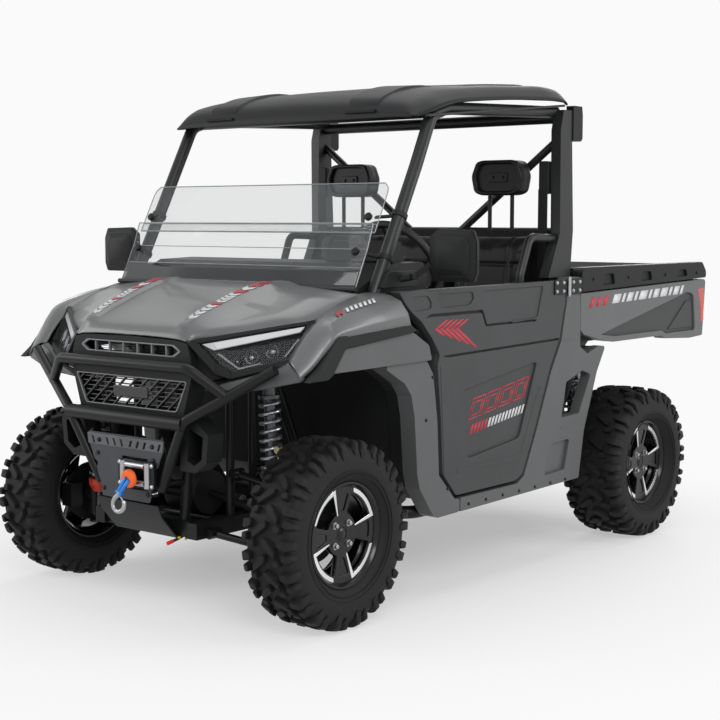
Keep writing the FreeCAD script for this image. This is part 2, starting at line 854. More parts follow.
def quarter_panel():
    inner, outer = across(pillar_b_x_shares[1]) + RUNNING_GAP, HALF_WIDTH
    panel = side_slab(quarter_shares, inner, outer, PANEL * 2)
    panel = fused([panel, side_slab(rocker_shares, sill_inner(), outer - PANEL)])
    panel = panel.cut(side_slab(quarter_hole_shares, inner - CUT_OVERRUN, outer + CUT_OVERRUN, PANEL * 2))
    pocket = side_slab(quarter_pocket_shares, outer - PANEL * 3, outer + CUT_OVERRUN, PANEL * 2)
    return panel.cut(pocket)


duct_side_shares = [
    (0.7712, 0.6333), (0.8558, 0.6333), (0.875, 0.6048), (0.8558, 0.55), (0.7788, 0.55),
]


def side_duct():
    """Air duct behind the door."""
    inner, outer = (across(s) for s in pillar_b_x_shares)
    return side_slab(duct_side_shares, inner, outer, PANEL)


# Doors

door_shares = [
    (0.15, 0.9881), (0.1712, 0.9262), (0.1933, 0.8833), (0.2154, 0.8512), (0.2505, 0.7643),
    (0.2731, 0.6893), (0.2654, 0.6488), (0.2769, 0.3988), (0.2832, 0.1429), (0.3255, 0.0298),
    (0.5269, 0.0298), (0.5505, 0.056), (0.5962, 0.275), (0.6471, 0.5536), (0.6841, 0.7012),
    (0.7043, 0.8929), (0.7043, 0.994),
]
hinge_share = (0.7115, 0.9202)
HINGE_RADIUS = 8.0
HINGE_HEIGHT = 70.0
HINGE_REACH = 110.0
HINGE_KNUCKLE_SHARE = 0.48
door_upper_recess_shares = [
    [
    (0.1875, 0.9583), (0.2356, 0.9619), (0.2476, 0.9286), (0.2452, 0.9024), (0.1971, 0.8952),
],
    [
    (0.2644, 0.9643), (0.375, 0.9667), (0.3798, 0.9345), (0.3654, 0.9071), (0.274, 0.9024),
],
    [
    (0.4087, 0.9667), (0.6202, 0.9714), (0.601, 0.8214), (0.5144, 0.8095), (0.4856, 0.8452),
],
]
door_lower_recess_shares = [
    (0.3413, 0.5119), (0.601, 0.6012), (0.5385, 0.2381), (0.3606, 0.1905),
]


def door():
    outer = HALF_WIDTH
    inner = outer - DOOR_WALL
    panel = side_slab(door_shares, inner, outer, PANEL * 2)
    for shares in door_upper_recess_shares:
        panel = panel.cut(side_slab(shares, outer - RECESS / 2, outer + CUT_OVERRUN, PANEL * 2))
    return panel.cut(side_slab(door_lower_recess_shares, outer - RECESS, outer + CUT_OVERRUN, PANEL * 4))


def hinge_pin(share_low, share_high):
    """Piece of the hinge's barrel between two shares of its height."""
    y, z = along(hinge_share[0]), up(hinge_share[1])
    x = HALF_WIDTH + HINGE_RADIUS
    return rod(V(x, y, z + HINGE_HEIGHT * share_low), V(x, y, z + HINGE_HEIGHT * share_high), HINGE_RADIUS)


def door_hinge_leaf():
    """Leaf on the door's outside with the lower half of the barrel."""
    y, z = along(hinge_share[0]), up(hinge_share[1])
    front, rear = y - HINGE_REACH, y - HINGE_RADIUS - PANEL * CORNER_SHARE
    outer = HALF_WIDTH + PLATE
    leaf = block(HALF_WIDTH, outer, front, rear, z, z + HINGE_HEIGHT)
    tongue = block(HALF_WIDTH, outer, front, y, z, z + HINGE_HEIGHT * HINGE_KNUCKLE_SHARE)
    return [leaf, tongue, hinge_pin(0, HINGE_KNUCKLE_SHARE)]


def hinge_bracket():
    """Rear leaf on the pillar with the upper half of the barrel."""
    y, z = along(hinge_share[0]), up(hinge_share[1])
    front, rear = y + HINGE_RADIUS + PANEL, y + HINGE_REACH
    inner = HALF_WIDTH + RUNNING_GAP
    leaf = block(inner, HALF_WIDTH + PLATE, front, rear, z, z + HINGE_HEIGHT)
    low = z + HINGE_HEIGHT * (1 - HINGE_KNUCKLE_SHARE)
    arm = block(inner, HALF_WIDTH + HINGE_RADIUS, y, front + PANEL, low, z + HINGE_HEIGHT)
    return fused([leaf, arm, hinge_pin(1 - HINGE_KNUCKLE_SHARE, 1)])


# Roll cage

pillar_a_shares = [
    (0.8693, 0.2308, 0.4762), (0.8693, 0.1322, 0.9524), (0.8693, 0.2596, 1.5417),
    (0.864, 0.3077, 1.7738), (0.8613, 0.3558, 1.8095), (0.8613, 0.7356, 1.8429),
]
pillar_b_shares = [
    (0.7101, 1.0071), (0.674, 1.0071), (0.7163, 1.231), (0.7149, 1.75), (0.726, 1.8512),
    (0.7596, 1.8512), (0.7596, 1.6905), (0.7673, 1.2464), (0.7577, 1.0071),
]
pillar_b_foot_shares = [
    0.7101, 0.7356,
]
pillar_b_x_shares = [
    0.8733, 0.936,
]
pillar_a_foot_y_share = 0.2788
cage_front_tie_share = (0.86, 0.3413, 1.7952)
cage_rear_tie_share = (0.8853, 0.7413, 1.8155)
cage_mid_tie_share = (0.8853, 0.7452, 1.2286)
brace_shares = [
    (0.8853, 0.7433, 1.7143), (0.1733, 0.7452, 1.2286),
]
hip_shares = [
    (0.896, 0.7212, 1.2024), (0.896, 0.625, 1.2119), (0.8907, 0.5942, 1.0238),
]
hip_foot_y_share = 0.5865


def cage_foot_z():
    """Height at which the cage stands on the outer tubes of the frame."""
    return RAIL_Z + RAIL_HEIGHT / 2 + CAGE_TUBE + RUNNING_GAP


def cage():
    """Front hoop, rear pillars, roof rails and braces."""
    x = across(slider_x_share)
    foot = V(x, along(pillar_a_foot_y_share), cage_foot_z())
    upright = [foot, foot + V(0, 0, CAGE_TUBE * 2)]
    parts = both(tube(upright + [spot(s) for s in pillar_a_shares], CAGE_TUBE, CAGE_TUBE * 3))
    inner, outer = (across(s) for s in pillar_b_x_shares)
    foot_share = share_of(cage_foot_z())
    pillar = pillar_b_shares + [(pillar_b_foot_shares[1], foot_share), (pillar_b_foot_shares[0], foot_share)]
    parts.extend(both(side_slab(pillar, inner, outer)))
    foot = V(x, along(hip_foot_y_share), cage_foot_z())
    restraint = [spot(s) for s in hip_shares] + [foot + V(0, 0, CAGE_TUBE * 2), foot]
    parts.extend(both(tube(restraint, BRACE_TUBE, CAGE_TUBE * 2)))
    for share in (cage_front_tie_share, cage_rear_tie_share, cage_mid_tie_share):
        parts.append(tower_tie(share, CAGE_TUBE))
    brace = rod(spot(brace_shares[0]), spot(brace_shares[1]), BRACE_TUBE)
    parts.extend(both(brace))
    return [fused(parts)]


rear_bracket_shares = [
    (0.7596, 1.8762), (0.7933, 1.8762), (0.7962, 1.8333), (0.7962, 1.7143), (0.7909, 1.6976),
    (0.7596, 1.6976),
]
rear_bracket_x_shares = [
    0.8933, 0.944,
]


def rear_bracket():
    """Bracket behind the rear pillar's top."""
    inner, outer = (across(s) for s in rear_bracket_x_shares)
    return side_slab(rear_bracket_shares, inner, outer, PANEL)


# Roof

roof_sections = [
    (0.2596, [
    (0.0, 1.7595), (0.64, 1.7595), (0.7867, 1.7595), (0.84, 1.7571),
]),
    (0.274, [
    (0.0, 1.8321), (0.64, 1.825), (0.8, 1.8048), (0.8747, 1.769),
]),
    (0.3077, [
    (0.0, 1.8726), (0.64, 1.8655), (0.816, 1.8452), (0.9067, 1.8),
]),
    (0.375, [
    (0.0, 1.9107), (0.64, 1.9012), (0.8293, 1.8833), (0.92, 1.8405),
]),
    (0.5524, [
    (0.0, 1.9488), (0.64, 1.9417), (0.8347, 1.9262), (0.92, 1.8786),
]),
    (0.6918, [
    (0.0, 1.9679), (0.64, 1.9631), (0.8373, 1.9476), (0.92, 1.8929),
]),
    (0.75, [
    (0.0, 1.9619), (0.64, 1.9571), (0.84, 1.9429), (0.92, 1.8833),
]),
]


def roof_pad(place, shares):
    """Rubber foot of the roof on the cage's side tube."""
    low, high = spot(pillar_a_shares[-2]), spot(pillar_a_shares[-1])
    y = along(place)
    tube_z = low.z + (high.z - low.z) * ((y + PIVOT_POST - low.y) / (high.y - low.y))
    x = (low.x + high.x) / 2
    (near, shoulder), (far, edge) = shares[-2:]
    across_share = (x - across(near)) / (across(far) - across(near))
    top = up(shoulder) + (up(edge) - up(shoulder)) * across_share
    return rod(V(x, y, tube_z + CAGE_TUBE + RUNNING_GAP), V(x, y, top), PIVOT_POST)


def roof():
    parts = [skin([section(place, shares) for place, shares in roof_sections], PANEL * 3)]
    for place, shares in roof_sections[4:6]:
        parts.extend(both(roof_pad(place, shares)))
    return [fused(parts)]


# Windscreen in two panels with its clamps

screen_lower_shares = [
    (0.0971, 1.0), (0.1346, 1.1833), (0.1481, 1.2821), (0.1505, 1.2821), (0.1375, 1.1833),
    (0.1, 0.9976),
]
screen_flap_shares = [
    (0.1529, 1.244), (0.1986, 1.4619), (0.201, 1.4595), (0.1553, 1.2417),
]
screen_half_share = 0.8427
clamp_shares = [(0.3, (0.1303, 1.1548)), (0.62, (0.1683, 1.3095))]
CLAMP_SHARE = 0.75


def windscreen():
    half = across(screen_half_share)
    return [side_slab(screen_lower_shares, -half, half), side_slab(screen_flap_shares, -half, half)]


def screen_clamp():
    low, high = spot(pillar_a_shares[1]), spot(pillar_a_shares[2])
    run = (high - low).normalize()
    clamps = []
    for screen, (level_share, screen_share) in zip(windscreen(), clamp_shares):
        ahead = screen.copy()
        ahead.translate(V(0, RUNNING_GAP - SCREEN_WALL * CLAMP_SHARE, 0))
        screen.translate(V(0, RUNNING_GAP, 0))
        centre = low + (high - low) * level_share
        bore = CAGE_TUBE + RUNNING_GAP
        band = ring(centre - run * SMALL_TUBE, run, CAGE_TUBE + PLATE, bore, SMALL_TUBE * 2)
        face = V(across(screen_half_share) - CAGE_TUBE, along(screen_share[0]), up(screen_share[1]))
        arm = rod(face, centre, SMALL_TUBE * CLAMP_SHARE).cut(screen).cut(ahead)
        arm = arm.cut(rod(centre - run * CAGE_TUBE * 4, centre + run * CAGE_TUBE * 4, bore))
        clamps.append(fused([band, arm]))
    return clamps


# Mirrors on the cowl

mirror_sail_shares = [
    (0.1322, 1.0024), (0.1529, 1.0738), (0.2356, 1.0738), (0.2356, 1.0024),
]
mirror_arm_shares = (0.2212, 1.0536)
mirror_elbow_share = (1.0667, 0.2115, 1.1071)
mirror_x_shares = [
    1.0533, 1.34,
]
mirror_shares = [
    (0.201, 1.2321), (0.201, 1.0738), (0.2091, 1.0298), (0.2139, 1.0298), (0.2221, 1.0738),
    (0.2221, 1.2321), (0.2139, 1.2619), (0.2091, 1.2619),
]


def mirror():
    """Upright glass housing on a folded arm from the cowl."""
    inner = spot(pillar_a_shares[1]).x + CAGE_TUBE + RUNNING_GAP
    sail = side_slab(mirror_sail_shares, inner, inner + SMALL_TUBE * 2)
    start = V(inner + SMALL_TUBE, along(mirror_arm_shares[0]), up(mirror_arm_shares[1]))
    arm = rod(start, spot(mirror_elbow_share), SMALL_TUBE)
    left, right = (across(s) for s in mirror_x_shares)
    housing = side_slab(mirror_shares, left, right, PANEL)
    return fused([housing, arm, sail])


# Seats

SEAT_GAP = 2.0
seat_x_shares = [
    -0.8, -0.2533, 0.2533, 0.8,
]
cushion_shares = [
    (0.4952, 0.4048), (0.476, 0.4524), (0.476, 0.5238), (0.4952, 0.55), (0.649, 0.5238),
    (0.6683, 0.4762), (0.6683, 0.4048),
]
back_shares = [
    (0.65, 0.5381), (0.6394, 0.5952), (0.674, 1.1905), (0.6875, 1.2381), (0.7115, 1.2381),
    (0.7192, 1.2202), (0.7192, 0.5381),
]
headrest_shares = [
    (0.4, 1.4405), (0.38, 1.5238), (0.4133, 1.5952), (0.4533, 1.6048), (0.6613, 1.6048),
    (0.7013, 1.5952), (0.7347, 1.5238), (0.7147, 1.4405), (0.6667, 1.4238), (0.448, 1.4238),
]


def seat_blocks(shares, gap, shift):
    blocks = []
    for left, right in zip(seat_x_shares[:-1], seat_x_shares[1:]):
        seat = side_slab(shares, across(left) + gap, across(right) - gap, PANEL * 3)
        seat.translate(shift)
        blocks.append(seat)
    return blocks


headrest_y_share = 0.6827
HEADREST_DEPTH = 85.0
stalk_y_share = 0.7029
stalk_x_shares = [
    0.48, 0.6347,
]


def headrest():
    y = along(headrest_y_share)
    return front_slab(headrest_shares, y, y + HEADREST_DEPTH, PANEL * 3)


def headrest_stalk():
    y = along(stalk_y_share)
    low, high = up(back_shares[4][1]) + RUNNING_GAP, up(headrest_shares[-1][1]) - RUNNING_GAP
    posts = []
    for share in stalk_x_shares:
        x = across(share)
        posts.append(rod(V(x, y, low), V(x, y, high), SMALL_TUBE))
    return posts


# Dash and steering

dash_shares = [
    (0.1904, 0.9051), (0.1798, 0.9051), (0.1106, 0.9595), (0.1029, 0.9762), (0.1029, 0.9905),
    (0.2019, 1.1), (0.2981, 1.1071), (0.3125, 1.0476), (0.2981, 0.8571), (0.2596, 0.7143),
    (0.1971, 0.7143),
]
cowl_shares = [
    (0.2308, 1.0952), (0.2596, 1.2), (0.2981, 1.2), (0.3077, 1.0952),
]
cowl_x_shares = [
    0.32, 0.6933,
]


def dash():
    half = across(cab_half_width_share)
    body = side_slab(dash_shares, -half, half, PANEL * 3)
    left, right = (across(s) for s in cowl_x_shares)
    cowl = side_slab(cowl_shares, left, right, PANEL * 3)
    firewall = cab_floor()[0]
    firewall.translate(V(0, RUNNING_GAP, RUNNING_GAP))
    return [fused([body, cowl]).cut(firewall).cut(column(RUNNING_GAP))]


wheel_centre_share = (0.5067, 0.375, 1.1071)
STEERING_WHEEL_RADIUS = 175.0
STEERING_RIM_RADIUS = 15.0
STEERING_TILT = 35.0
HUB_DROP = 24.0
COLUMN_RADIUS = 24.0
SPOKE_RADIUS = 10.5
column_end_share = 0.2981


def steering_axis():
    tilt = math.radians(STEERING_TILT)
    return V(0, math.cos(tilt), math.sin(tilt))


def steering_wheel():
    """Rim, three spokes and hub."""
    centre = spot(wheel_centre_share)
    axis = steering_axis()
    rim = Part.makeTorus(STEERING_WHEEL_RADIUS, STEERING_RIM_RADIUS, V(0, 0, 0), V(0, 0, 1))
    hub = rod(V(0, 0, -HUB_DROP), V(0, 0, STEERING_RIM_RADIUS - SPOKE_RADIUS), STEERING_RIM_RADIUS * 3)
    parts = [rim, hub]
    for turn in (0, 180, 270):
        angle = math.radians(turn)
        tip = V(math.cos(angle), math.sin(angle), 0) * STEERING_WHEEL_RADIUS
        parts.append(rod(V(0, 0, -PLATE), tip, SPOKE_RADIUS))
    wheel = fused(parts)
    wheel.Placement = FreeCAD.Placement(centre, FreeCAD.Rotation(V(0, 0, 1), axis))
    return [wheel]


def column(room):
    """Column from under the wheel's hub into the dash, with room round it."""
    axis = steering_axis()
    start = spot(wheel_centre_share) - axis * (HUB_DROP + RUNNING_GAP)
    length = (start.y - along(column_end_share)) / axis.y
    return rod(start, start - axis * (length + room), COLUMN_RADIUS + room)


def steering_column():
    return [column(0)]


# Engine and exhaust

engine_shares = [
    (-0.2667, 0.5769, 0.0012), (0.2667, 0.8365, 0.3214),
]
exhaust_shares = (1.1769, 0.3333)
MUFFLER_RADIUS = 80.0
TAIL_PIPE_RADIUS = 22.0
TAIL_PIPE_REACH = 140.0
TAIL_PIPE_DROP = 20.0


def engine():
    low, high = (spot(s) for s in engine_shares)
    return [block(low.x, high.x, low.y, high.y, FLOOR_Z + RUNNING_GAP, high.z)]


def exhaust():
    y, z = along(exhaust_shares[0]), up(exhaust_shares[1])
    half = spot(rear_tower_shares[3]).x - TOWER_TUBE - RUNNING_GAP
    body = rod(V(-half, y, z), V(half, y, z), MUFFLER_RADIUS)
    x = half - MUFFLER_RADIUS
    tip = rod(V(x, y, z), V(x, y + TAIL_PIPE_REACH, z - TAIL_PIPE_DROP), TAIL_PIPE_RADIUS)
    return [fused([body, tip])]


# Suspension

LOWER_PIVOT_LIFT = 18.0
UPPER_PIVOT_LIFT = 220.0
LOWER_SPREAD = 190.0
UPPER_SPREAD = 60.0
REAR_UPRIGHT_X = 590.0
BUSH_SHARE = 1.3
BALL_SHARE = 1.6


def lower_leg(axle_y, knuckle_x):
    """Ends of the lower arm's front leg."""
    pivot = V(lower_pivot_x(), axle_y - LOWER_SPREAD, RAIL_Z + LOWER_PIVOT_LIFT)
    return pivot, V(knuckle_x, axle_y, lower_eye_z())


def lower_pivot_x():
    return RAIL_X + RAIL_WIDTH / 2 + ARM_TUBE * BUSH_SHARE + RUNNING_GAP


def arm_pair(axle_y, pivot_x, pivot_z, spread, knuckle_x, knuckle_z):
    """Two-legged arm from the frame to the upright."""
    eye = V(knuckle_x, axle_y, knuckle_z)
    parts = []
    for side in (-1, 1):
        pivot = V(pivot_x, axle_y + side * spread, pivot_z)
        parts.append(rod(pivot, eye, ARM_TUBE))
        half = V(0, ARM_TUBE * 2, 0)
        parts.append(rod(pivot - half, pivot + half, ARM_TUBE * BUSH_SHARE))
    reach = eye.z - TYRE_RADIUS
    seat = TYRE_RADIUS + math.copysign(KINGPIN_HALF_HEIGHT + RUNNING_GAP, reach)
    end = eye.z + math.copysign(ARM_TUBE, reach)
    parts.append(rod(V(eye.x, eye.y, seat), V(eye.x, eye.y, end), ARM_TUBE * BALL_SHARE))
    return fused(parts)


def lower_eye_z():
    return TYRE_RADIUS - KINGPIN_HALF_HEIGHT - RUNNING_GAP - ARM_TUBE * BALL_SHARE


def upper_eye_z():
    return TYRE_RADIUS + KINGPIN_HALF_HEIGHT + RUNNING_GAP + ARM_TUBE * BALL_SHARE


def suspension_arms():
    shapes = []
    lower_x = lower_pivot_x()
    upper_x = RAIL_X + PIVOT_POST + ARM_TUBE * BUSH_SHARE + RUNNING_GAP
    lower_z, upper_z = RAIL_Z + LOWER_PIVOT_LIFT, RAIL_Z + UPPER_PIVOT_LIFT
    for axle_y, x in ((FRONT_AXLE_Y, KINGPIN_X), (REAR_AXLE_Y, REAR_UPRIGHT_X)):
        shapes.extend(both(arm_pair(axle_y, lower_x, lower_z, LOWER_SPREAD, x, lower_eye_z())))
        shapes.extend(both(arm_pair(axle_y, upper_x, upper_z, UPPER_SPREAD, x, upper_eye_z())))
    return shapes


shock_top_shares = [
    (0.6027, -0.0308, 0.619), (0.5867, 0.9692, 0.5238),
]
shock_foot_share = 0.63
SPRING_RADIUS = 42.0
DAMPER_RADIUS = 20.0
SPRING_WIRE = 7.0
spring_seat_shares = [(0.04, 0.07), (0.42, 0.46)]


def shock(top, leg):
    """Damper with its spring, forked over the frame's pin and over the arm's tube."""
    pivot, eye = leg
    foot = pivot + (eye - pivot) * shock_foot_share
    run = foot - top
    parts = [rod(top, foot, DAMPER_RADIUS)]
    for start, end in spring_seat_shares:
        parts.append(rod(top + run * start, top + run * end, SPRING_RADIUS))
    spring_top, spring_foot = spring_seat_shares[0][0], spring_seat_shares[1][1]
    parts.append(rod(top + run * spring_top, top + run * spring_foot, SPRING_RADIUS - SPRING_WIRE))
    pin = rod(top - V(SPRING_RADIUS, 0, 0), top + V(SPRING_RADIUS, 0, 0), SHOCK_PIN + RUNNING_GAP)
    return fused(parts).cut(pin).cut(rod(pivot, eye, ARM_TUBE + RUNNING_GAP))


def shocks():
    shapes = []
    legs = (lower_leg(FRONT_AXLE_Y, KINGPIN_X), lower_leg(REAR_AXLE_Y, REAR_UPRIGHT_X))
    for top, leg in zip(shock_top_shares, legs):
        shapes.extend(both(shock(spot(top), leg)))
    return shapes


DIFF_RADIUS = 85.0
DIFF_LIFT = 75.0
SHAFT_RADIUS = 14.0
BOOT_RADIUS = 36.0


def drive_shafts():
    """Differential with a shaft and rubber boots to each wheel."""
    shapes = []
    diff_z = TYRE_RADIUS + DIFF_LIFT
    for axle_y, upright_x in ((FRONT_AXLE_Y, KINGPIN_X), (REAR_AXLE_Y, REAR_UPRIGHT_X)):
        reach = upright_x - KINGPIN_RADIUS * 2
        parts = [rod(V(-DIFF_RADIUS, axle_y, diff_z), V(DIFF_RADIUS, axle_y, diff_z), DIFF_RADIUS)]
        for side in (-1, 1):
            start = V(side * DIFF_RADIUS, axle_y, diff_z)
            end = V(side * reach, axle_y, TYRE_RADIUS)
            run = (end - start).normalize()
            parts.append(rod(start - run * SHAFT_RADIUS, end, SHAFT_RADIUS))
            boot = BOOT_RADIUS * 2
            parts.append(Part.makeCone(SHAFT_RADIUS, BOOT_RADIUS, boot, end - run * boot, run))
        shapes.append(fused(parts))
    return shapes


DISC_SHARE = 0.2
HUB_SHARE = 1.5
CALIPER_SHARES = (0.55, 0.4)
EYE_SHARE = 1.2


def caliper(axle_y, x, disc_x):
    """Brake caliper over the front of the disc."""
    start, tall = (BRAKE_DISC_RADIUS * s for s in CALIPER_SHARES)
    return block(x, disc_x + PLATE * 4, axle_y - BRAKE_DISC_RADIUS - PLATE, axle_y - start,
                 TYRE_RADIUS - tall, TYRE_RADIUS + tall)


def steering_arm(axle_y, x):
    z = TYRE_RADIUS + STEERING_ARM_LIFT
    eye = V(x - KINGPIN_RADIUS, axle_y + STEERING_ARM_LENGTH, z)
    half = V(0, 0, ARM_TUBE)
    return [rod(V(x, axle_y + KINGPIN_RADIUS / 2, z), eye, SMALL_TUBE * EYE_SHARE),
            rod(eye - half, eye + half, ARM_TUBE * EYE_SHARE)]


def knuckle(axle_y, x, wheel_x, rim_width):
    """Upright with its stub axle, hub and brake."""
    low, high = TYRE_RADIUS - KINGPIN_HALF_HEIGHT, TYRE_RADIUS + KINGPIN_HALF_HEIGHT
    centre = V(x, axle_y, TYRE_RADIUS)
    disc_x = x + KINGPIN_RADIUS + PLATE
    face = wheel_x + rim_width * DISC_SHARE
    tip = face + RIM_DISC_WALL * HUB_SHARE
    disc_face = V(disc_x, axle_y, TYRE_RADIUS)
    return [rod(V(x, axle_y, low), V(x, axle_y, high), KINGPIN_RADIUS),
            rod(centre, V(face - RUNNING_GAP, axle_y, TYRE_RADIUS), KINGPIN_RADIUS * HUB_SHARE),
            rod(centre, V(tip, axle_y, TYRE_RADIUS), AXLE_RADIUS),
            rod(disc_face, disc_face + V(BRAKE_DISC_WALL, 0, 0), BRAKE_DISC_RADIUS),
            caliper(axle_y, x, disc_x)]


RACK_Z = TYRE_RADIUS + STEERING_ARM_LIFT - ARM_TUBE - SAFE_GAP - SMALL_TUBE * EYE_SHARE
RACK_HALF = 150.0


def tie_rods():
    """Rack bar with a tie rod to each steering arm."""
    y = FRONT_AXLE_Y + STEERING_ARM_LENGTH
    x = KINGPIN_X - KINGPIN_RADIUS
    bar = rod(V(-x, y, RACK_Z), V(x, y, RACK_Z), SMALL_TUBE)
    parts = [bar]
    for side in (-1, 1):
        centre, half = V(side * x, y, RACK_Z), V(0, 0, SMALL_TUBE * EYE_SHARE)
        parts.append(rod(centre - half, centre + half, SMALL_TUBE * 2))
    return [fused(parts)]


def rack_housing():
    y = FRONT_AXLE_Y + STEERING_ARM_LENGTH
    outer = RACK_Z - FLOOR_Z - RUNNING_GAP
    return ring(V(-RACK_HALF, y, RACK_Z), V(1, 0, 0), outer, SMALL_TUBE + RUNNING_GAP, RACK_HALF * 2)


# Wheels

def wheel_profile(points):
    face = Part.Face(Part.makePolygon(points + [points[0]]))
    return face.revolve(V(0, 0, 0), V(1, 0, 0), 360)


WINDOWS = 4
WINDOW_INNER_SHARE = 1.15
WINDOW_LIP_SHARE = 2.5
WINDOW_SPREAD = 26.0
WINDOW_LEAN = 15.0
BOSS_SHARE = 1.8
BORE_SHARE = 3.0


def rim_barrel(half):
    flange, inner = RIM_LIP_RADIUS, RIM_RADIUS - RIM_WALL
    return wheel_profile([
        V(-half, flange, 0), V(-half + RIM_WALL, flange, 0), V(-half + RIM_WALL, RIM_RADIUS, 0),
        V(half - RIM_WALL, RIM_RADIUS, 0), V(half - RIM_WALL, flange, 0), V(half, flange, 0),
        V(half, inner, 0), V(-half, inner, 0)])


def fan_window(index):
    """Outline of one window between two spokes, seen along the axle."""
    inner, outer = WHEEL_BOSS_RADIUS * WINDOW_INNER_SHARE, RIM_RADIUS - RIM_WALL * WINDOW_LIP_SHARE
    corners = []
    for radius, lean in ((inner, -WINDOW_LEAN), (outer, -WINDOW_SPREAD), (outer, 0),
                         (outer, WINDOW_SPREAD), (inner, WINDOW_LEAN)):
        angle = math.radians((index + 0.5) * 360 / WINDOWS + lean)
        corners.append(V(0, radius * math.cos(angle), radius * math.sin(angle)))
    return corners


def rim(wheel_x, axle_y, rim_width, side):
    """Rim barrel with its lips, face disc with fan windows, boss and cap."""
    disc_x = rim_width * DISC_SHARE
    face, along_axle = V(disc_x, 0, 0), V(1, 0, 0)
    disc = Part.makeCylinder(RIM_RADIUS - RIM_WALL / 2, RIM_DISC_WALL, face, along_axle)
    for index in range(WINDOWS):
        window = slab(fan_window(index), V(RIM_DISC_WALL + CUT_OVERRUN * 2, 0, 0), PANEL * 2)
        window.translate(V(disc_x - CUT_OVERRUN, 0, 0))
        disc = disc.cut(window)
    boss = Part.makeCylinder(WHEEL_BOSS_RADIUS, RIM_DISC_WALL * BOSS_SHARE, face, along_axle)
    whole = fused([rim_barrel(rim_width / 2), disc, boss])
    start = face - V(PLATE, 0, 0)
    whole = whole.cut(rod(start, start + V(RIM_DISC_WALL * BORE_SHARE, 0, 0), AXLE_RADIUS + RUNNING_GAP))
    if side < 0:
        whole = flip(whole)
    whole.translate(V(side * wheel_x, axle_y, TYRE_RADIUS))
    return whole


LUG_HEIGHT = 17.0
LUG_LENGTH = 44.0
LUG_PITCHES = 16
LUG_SLANT = 12.0
carcass_shares = [(0.95, 0.5), (0.78, 1.0)]
long_lug_shares = [(0.08, 1.0), (0.87, 1.0), (0.97, 0.74), (0.84, 0.62), (0.08, 0.8)]
short_lug_shares = [(0.36, 1.0), (0.85, 1.0), (0.97, 0.7), (0.84, 0.56), (0.36, 0.8)]


def carcass(width, rim_width):
    """Closed ring of flat facets, two to a pitch, with its beads inside the rim's lips."""
    bead = rim_width / 2 - RIM_WALL - RUNNING_GAP
    inner = RIM_RADIUS + RUNNING_GAP
    crown = TYRE_RADIUS - LUG_HEIGHT
    half = [(bead, inner), (bead, RIM_LIP_RADIUS + RUNNING_GAP)]
    for wide, tall in carcass_shares:
        half.append((width / 2 * wide, inner + (crown - inner) * tall))
    profile = [(-x, radius) for x, radius in half] + [(x, radius) for x, radius in reversed(half)]
    half_step = math.pi / (LUG_PITCHES * 2)
    faces = []
    for index in range(LUG_PITCHES * 2):
        turns = [half_step * (index * 2 + side) for side in (-1, 1, 1, -1)]
        for first, second in zip(profile, profile[1:] + profile[:1]):
            corners = []
            for (x, flat), turn in zip((first, first, second, second), turns):
                reach = flat / math.cos(half_step)
                corners.append(V(x, reach * math.sin(turn), reach * math.cos(turn)))
            faces.append(Part.Face(Part.makePolygon([*corners, corners[0]])))
    solid = Part.Solid(Part.makeShell(faces))
    if solid.Volume < 0:
        solid.reverse()
    return solid


def lug(shares, width, half_turn, angle):
    """Slanted lug that runs from the middle of the tread over its shoulder, turned to its place."""
    inner = RIM_RADIUS + RUNNING_GAP
    points = []
    for wide, tall in shares:
        points.append(V(width / 2 * wide, -LUG_LENGTH / 2, inner + (TYRE_RADIUS - inner) * tall))
    block = slab(points, V(0, LUG_LENGTH, 0))
    block.rotate(V(width / 4, 0, 0), V(0, 0, 1), LUG_SLANT)
    block.rotate(V(0, 0, 0), V(0, 0, 1), half_turn)
    block.rotate(V(0, 0, 0), V(1, 0, 0), angle)
    return block


def tyre(axle_y, width, rim_width):
    """Tyre carcass with long and short lugs by turns, half a pitch apart on its two sides."""
    parts = [carcass(width, rim_width)]
    for index in range(LUG_PITCHES):
        shares = long_lug_shares if index % 2 else short_lug_shares
        for half_turn, shift in ((0, 0), (180, 0.5)):
            parts.append(lug(shares, width, half_turn, (index + shift) * 360 / LUG_PITCHES))
    solid = fused(parts)
    solid.translate(V(0, axle_y, TYRE_RADIUS))
    return solid


# Cargo bed

bed_rear_share = 1.3245
bed_front_share = 0.7731
bed_floor_share = 0.6607
bed_top_share = 1.0512
bed_half_share = 0.92
BED_WALL = 14.0
bed_side_shares = [
    (0.7712, 0.9202), (1.3337, 0.9524), (1.3404, 0.9405), (1.3293, 0.6226), (1.2644, 0.6155),
    (1.137, 0.6321), (1.1284, 0.65), (0.9106, 0.6488), (0.8663, 0.6619), (0.7856, 0.7048),
    (0.7712, 0.731),
]
bed_rail_shares = [
    (0.7712, 0.9274), (0.7712, 1.0298), (0.7812, 1.0536), (1.3173, 1.0536), (1.3375, 1.0),
    (1.3375, 0.9607),
]
bed_recess_shares = [
    (0.875, 0.7143), (1.25, 0.8869), (1.2788, 0.869), (1.2885, 0.6786), (1.1442, 0.6786),
    (1.1298, 0.7024),
]
tail_lamp_shares = [
    (1.3, 0.8988), (1.3337, 0.906), (1.3337, 0.7036), (1.3173, 0.7036), (1.3125, 0.8095),
]
bed_pivot_share = 1.1683
BED_PIVOT_DROP = 27.0
BED_PIVOT_RADIUS = 10.0
FLOOR_SETBACK = 47.0
bed_side_x_share = 0.9893
bed_rail_x_share = 0.9973
TIE_DOWN_RADIUS = 6.0
TIE_DOWN_X = 550.0
tie_down_shares = [
    0.8365, 1.2404,
]
BED_SUBFRAME = 40.0
bed_subframe_shares = [
    0.7933, 1.274,
]


